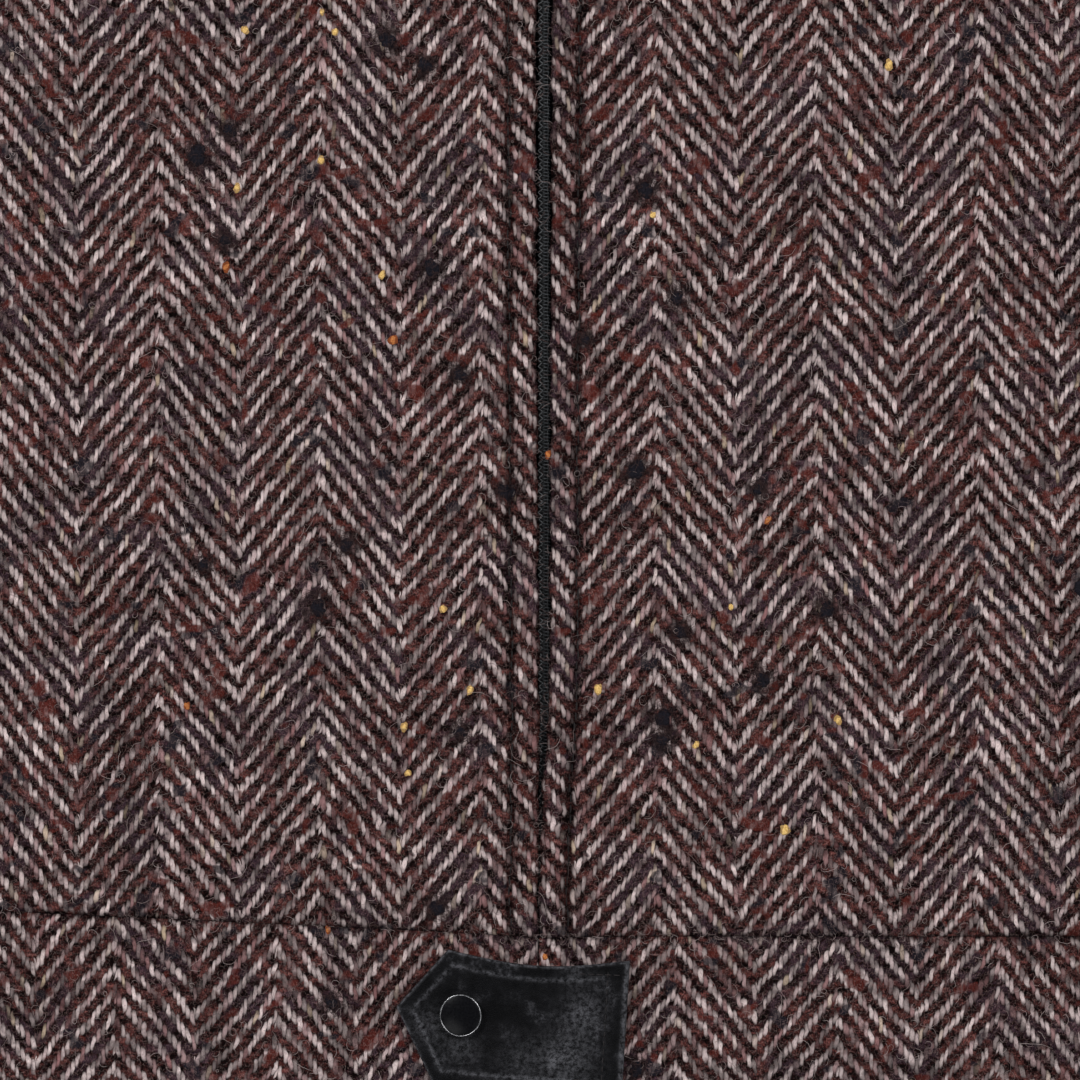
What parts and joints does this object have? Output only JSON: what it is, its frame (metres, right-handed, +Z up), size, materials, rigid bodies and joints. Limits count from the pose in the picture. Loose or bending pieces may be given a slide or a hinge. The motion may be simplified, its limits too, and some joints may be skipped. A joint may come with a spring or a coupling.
{
  "type": "long jacket",
  "caption": "Long herringbone tweed jacket with a stand collar, zip front, waist seam and a leather snap tab, laid flat on its back.",
  "frame": {"origin": "on the surface that the jacket lies on, under the middle of its bounding box: halfway from the hem to the collar's top, on the line of the zip", "axes": "+Y towards the collar, +X towards the wearer's left sleeve, +Z up from the surface, out of the jacket's front"},
  "size_m": [1.0596, 0.925, 0.0121],
  "materials": {
    "tweed": "chunky herringbone wool tweed, light grey-pink floats over burgundy-brown weft, with navy, yellow and orange slubs",
    "zip_tape": "black woven tape",
    "zip_coil": "black nylon coil",
    "zip_metal": "dark nickel plate",
    "leather": "black leather, rubbed grey in places",
    "snap_lacquer": "black lacquered dome",
    "snap_ring_metal": "thin silver rim"
  },
  "bodies": {
    "jacket": {"front_bodice_left": "tweed", "front_bodice_right": "tweed", "front_skirt_left": "tweed", "front_skirt_right": "tweed", "back_bodice": "tweed", "back_skirt": "tweed", "upper_sleeve_left": "tweed", "upper_sleeve_right": "tweed", "under_sleeve_left": "tweed", "under_sleeve_right": "tweed", "collar": "tweed", "zip_tape_left": "zip_tape", "zip_tape_right": "zip_tape", "zip_chain": "zip_coil", "zip_retainer": "zip_metal", "zip_stop_left": "zip_metal", "zip_stop_right": "zip_metal", "zip_slider": "zip_metal", "leather_tab": "leather", "snap_cap": "snap_lacquer", "snap_ring": "snap_ring_metal"},
    "pull": {"zip_pull": "zip_metal"}
  },
  "joints": [
    {"name": "pull_swing", "type": "hinge", "parent": "jacket", "child": "pull", "pos_m": [0, 0.35834, 0.0092], "axis": [-1, 0, 0], "range_deg": [0, 175]}
  ]
}
